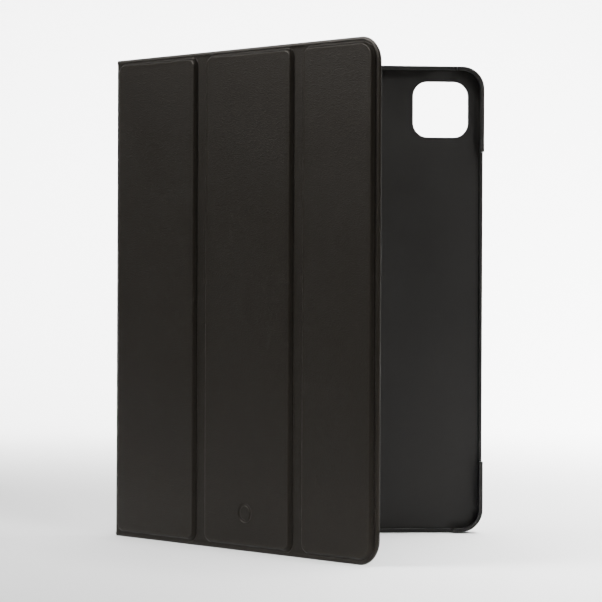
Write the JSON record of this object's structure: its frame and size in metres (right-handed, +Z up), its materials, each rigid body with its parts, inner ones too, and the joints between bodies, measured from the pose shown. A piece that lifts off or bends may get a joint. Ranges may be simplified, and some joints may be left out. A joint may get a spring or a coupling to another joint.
{
  "type": "tablet case",
  "caption": "Upright folio case for a large tablet: shallow tray with corner guards and a folding leather cover on a spine.",
  "frame": {"origin": "foot of the back leather, mid-thickness, in line with the left side of the tray", "axes": "+Z up along the case's height, +X from the spine across the tray, -Y out of the tray's opening"},
  "size_m": [0.2232, 0.1827, 0.286],
  "materials": {
    "leather": "satin",
    "shell": "matte",
    "lining": "matte",
    "board": "matte",
    "adhesive": "matte",
    "magnet": "satin"
  },
  "bodies": {
    "tray": {"tray_shell": "shell", "tray_adhesive": "adhesive", "back_leather": "leather"},
    "spine": {"spine_leather": "leather", "spine_board": "board", "spine_lining": "lining"},
    "panel_1": {"panel_1_leather": "leather", "panel_1_board": "board", "panel_1_lining": "lining", "panel_1_magnets": "magnet"},
    "fold_1": {"fold_1_leather": "leather", "fold_1_lining": "lining"},
    "panel_2": {"panel_2_leather": "leather", "panel_2_board": "board", "panel_2_lining": "lining"},
    "fold_2": {"fold_2_leather": "leather", "fold_2_lining": "lining"},
    "panel_3": {"panel_3_leather": "leather", "panel_3_board": "board", "panel_3_lining": "lining", "closing_magnets": "magnet", "wake_magnet": "magnet"}
  },
  "joints": [
    {"name": "spine_rear", "type": "hinge", "parent": "tray", "child": "spine", "pos_m": [-0.00145, 0, 0], "axis": [0, 0, -1], "range_deg": [-12, 168]},
    {"name": "spine_front", "type": "hinge", "parent": "spine", "child": "panel_1", "pos_m": [-0.00369, -0.01052, 0], "axis": [0, 0, -1], "range_deg": [-39, 141]},
    {"name": "fold_1a", "type": "hinge", "parent": "panel_1", "child": "fold_1", "pos_m": [0.04207, -0.06701, 0], "axis": [0, 0, 1], "range_deg": [-62, 62]},
    {"name": "fold_1b", "type": "hinge", "parent": "fold_1", "child": "panel_2", "pos_m": [0.04591, -0.07175, 0], "axis": [0, 0, 1], "range_deg": [-62, 62]},
    {"name": "fold_2a", "type": "hinge", "parent": "panel_2", "child": "fold_2", "pos_m": [0.09298, -0.12988, 0], "axis": [0, 0, 1], "range_deg": [-60, 60]},
    {"name": "fold_2b", "type": "hinge", "parent": "fold_2", "child": "panel_3", "pos_m": [0.09669, -0.13447, 0], "axis": [0, 0, 1], "range_deg": [-60, 60]}
  ]
}
